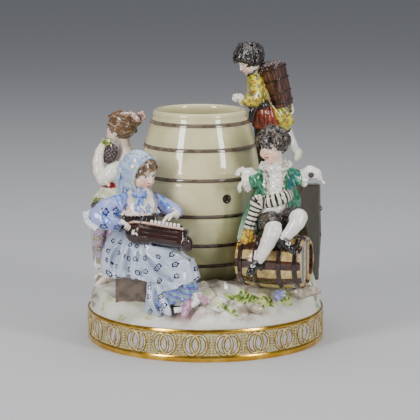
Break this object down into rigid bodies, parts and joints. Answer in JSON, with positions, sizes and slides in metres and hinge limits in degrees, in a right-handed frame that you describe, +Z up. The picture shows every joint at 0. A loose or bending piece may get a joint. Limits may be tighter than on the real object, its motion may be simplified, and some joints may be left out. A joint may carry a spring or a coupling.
{
  "type": "porcelain figure group",
  "caption": "Glazed porcelain table group: grape-harvest children in period dress round a large open barrel, on a mound and a round gilt-banded plinth.",
  "frame": {"origin": "centre of the plinth's flat underside", "axes": "+Z up, -Y is the front that the picture shows, +X to the viewer's right"},
  "size_m": [0.176, 0.176, 0.2147],
  "materials": {
    "porcelain": "gloss"
  },
  "bodies": {
    "root": {"porcelain_group": "porcelain"}
  },
  "joints": []
}
